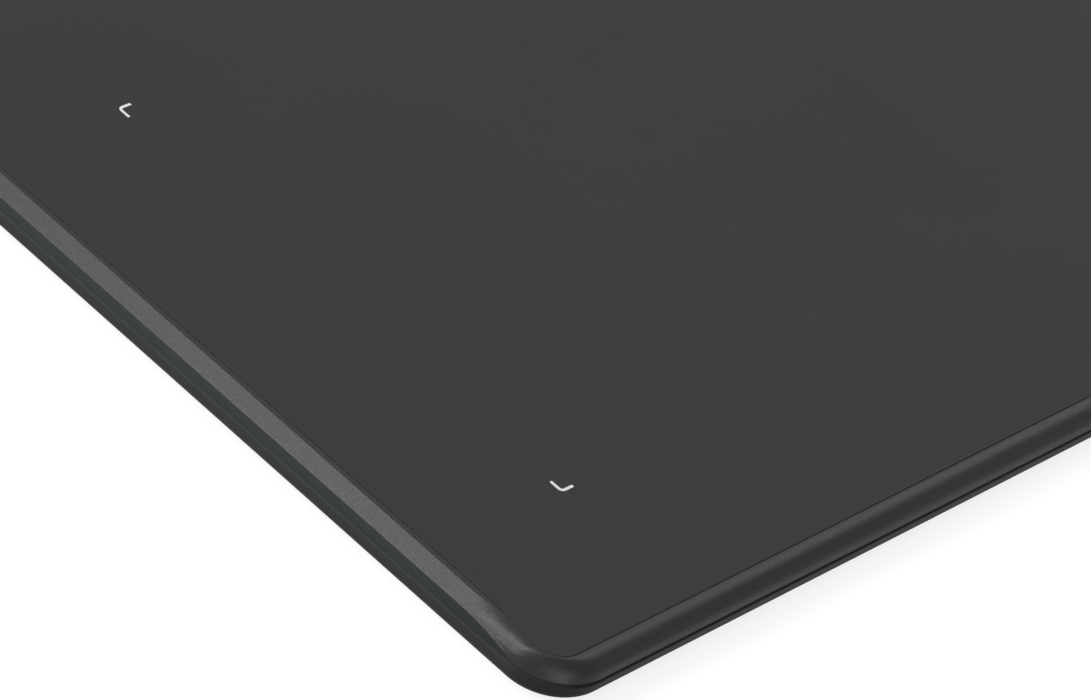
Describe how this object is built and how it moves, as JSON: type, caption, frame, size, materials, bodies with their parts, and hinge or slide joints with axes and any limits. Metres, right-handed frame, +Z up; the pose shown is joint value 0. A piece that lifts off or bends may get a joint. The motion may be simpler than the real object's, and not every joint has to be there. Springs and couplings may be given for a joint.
{
  "type": "pen tablet",
  "caption": "Flat pen tablet with a smooth drawing surface, chamfered sides, a rolled front edge and a row of shortcut keys.",
  "frame": {"origin": "on the desk, under the middle of the tablet's outline", "axes": "+X along the long side to the right, +Y to the rear edge with the keys, +Z up from the desk"},
  "size_m": [0.2192, 0.1712, 0.0088],
  "materials": {
    "cover_plastic": "fine matt texture, dark grey",
    "lower_plastic": "matt, dark grey with a slight green cast",
    "sheet_surface": "smooth matt, dark grey",
    "mark_ink": "matt light grey print",
    "key_plastic": "satin, dark grey",
    "bezel_plastic": "satin, near black",
    "foot_rubber": "matt rubber",
    "adhesive": "translucent film",
    "film": "black film",
    "circuit_board": "green solder resist",
    "foam": "closed-cell foam",
    "shield_metal": "plain rolled sheet",
    "steel": "plated steel",
    "chip_plastic": "matt moulding",
    "connector_plastic": "pale moulding",
    "ribbon_film": "white film",
    "lens_plastic": "clear moulding"
  },
  "bodies": {
    "housing": {"top_cover": "cover_plastic", "bottom_cover": "lower_plastic", "drawing_sheet": "sheet_surface", "area_marks": "mark_ink", "sheet_adhesive": "adhesive", "key_bezel": "bezel_plastic", "sensor_film": "film", "sensor_board": "circuit_board", "sensor_foam": "foam", "shield_plate": "shield_metal", "main_board": "circuit_board", "board_chips": "chip_plastic", "controller_chip": "chip_plastic", "inlet_shell": "steel", "inlet_tongue": "chip_plastic", "switch_cases": "steel", "sensor_socket": "connector_plastic", "board_socket": "connector_plastic", "ribbon_cable": "ribbon_film", "status_lamp": "connector_plastic", "light_guide": "lens_plastic", "front_left_foot": "foot_rubber", "rear_left_foot": "foot_rubber", "front_right_foot": "foot_rubber", "rear_right_foot": "foot_rubber", "cover_screws": "steel", "board_screws": "steel"},
    "key_1": {"key_1": "key_plastic", "switch_button_1": "chip_plastic"},
    "key_2": {"key_2": "key_plastic", "switch_button_2": "chip_plastic"},
    "key_3": {"key_3": "key_plastic", "switch_button_3": "chip_plastic"},
    "key_4": {"key_4": "key_plastic", "switch_button_4": "chip_plastic"}
  },
  "joints": [
    {"name": "key_1_press", "type": "slide", "parent": "housing", "child": "key_1", "axis": [0, 0, -1], "range_m": [0, 0.0004], "stiffness_N_per_m": 4000},
    {"name": "key_2_press", "type": "slide", "parent": "housing", "child": "key_2", "axis": [0, 0, -1], "range_m": [0, 0.0004], "stiffness_N_per_m": 4000},
    {"name": "key_3_press", "type": "slide", "parent": "housing", "child": "key_3", "axis": [0, 0, -1], "range_m": [0, 0.0004], "stiffness_N_per_m": 4000},
    {"name": "key_4_press", "type": "slide", "parent": "housing", "child": "key_4", "axis": [0, 0, -1], "range_m": [0, 0.0004], "stiffness_N_per_m": 4000}
  ]
}
